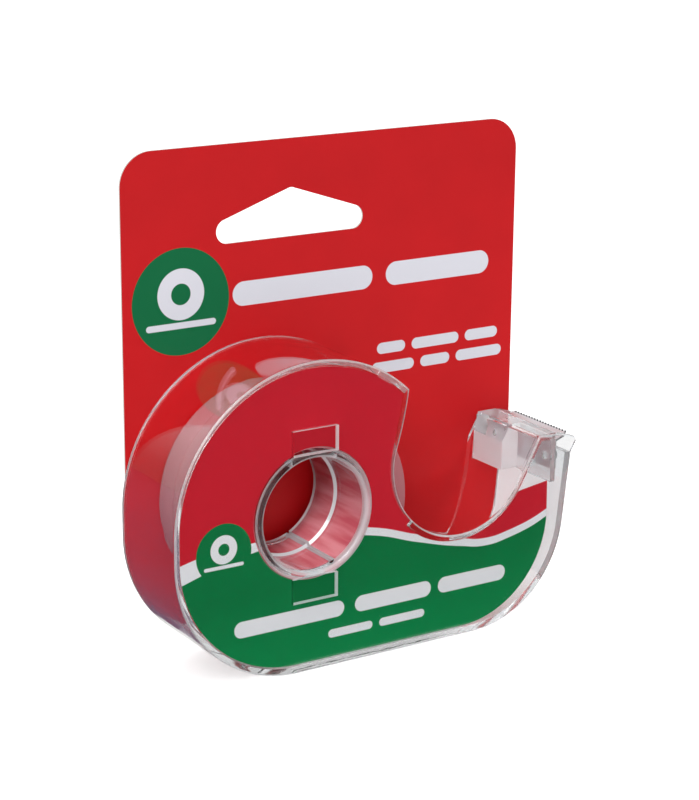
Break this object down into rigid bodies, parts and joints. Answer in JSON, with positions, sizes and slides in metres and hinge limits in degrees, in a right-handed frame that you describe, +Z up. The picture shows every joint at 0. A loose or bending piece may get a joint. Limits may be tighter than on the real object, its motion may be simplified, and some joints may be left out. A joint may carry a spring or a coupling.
{
  "type": "tape dispenser",
  "caption": "Pocket tape dispenser: clear snail-shaped moulding with hub, finger gap and toothed steel cutter, a roll of clear tape, a printed label and a hang card.",
  "frame": {"origin": "middle of the bottom of the whole object, on the flat base of the shell", "axes": "+X along the card from the tape roll to the cutter, +Y from the front wall to the hang card, +Z up"},
  "size_m": [0.0926, 0.022, 0.0998],
  "materials": {
    "clear_plastic": "clear polished crystal polystyrene",
    "cutter_steel": "ground stainless strip steel",
    "core_board": "pinkish wound board",
    "clear_tape": "clear glossy film, wound",
    "label_print": "red and green print with a white wave, semi-gloss",
    "card_print": "red print, semi-gloss, plain back"
  },
  "bodies": {
    "shell": {"dispenser_shell": "clear_plastic", "cutter_blade": "cutter_steel", "front_label": "label_print"},
    "roll": {"tape_core": "core_board", "tape_roll": "clear_tape"},
    "upper_finger": {"hub_finger_upper": "clear_plastic"},
    "lower_finger": {"hub_finger_lower": "clear_plastic"},
    "card": {"hang_card": "card_print"}
  },
  "joints": [
    {"name": "roll_spin", "type": "hinge", "parent": "shell", "child": "roll", "pos_m": [-0.016, -0.00003, 0.0314], "axis": [0, 1, 0], "continuous": true},
    {"name": "upper_finger_flex", "type": "hinge", "parent": "shell", "child": "upper_finger", "pos_m": [-0.016, -0.00923, 0.04315], "axis": [-1, 0, 0], "range_deg": [0, 5], "stiffness_Nm_per_rad": 0.4},
    {"name": "lower_finger_flex", "type": "hinge", "parent": "shell", "child": "lower_finger", "pos_m": [-0.016, -0.00923, 0.01965], "axis": [1, 0, 0], "range_deg": [0, 5], "stiffness_Nm_per_rad": 0.4},
    {"name": "card_fold", "type": "hinge", "parent": "shell", "child": "card", "pos_m": [-0.016, 0.01103, 0.0008], "axis": [-1, 0, 0], "range_deg": [0, 88]}
  ]
}
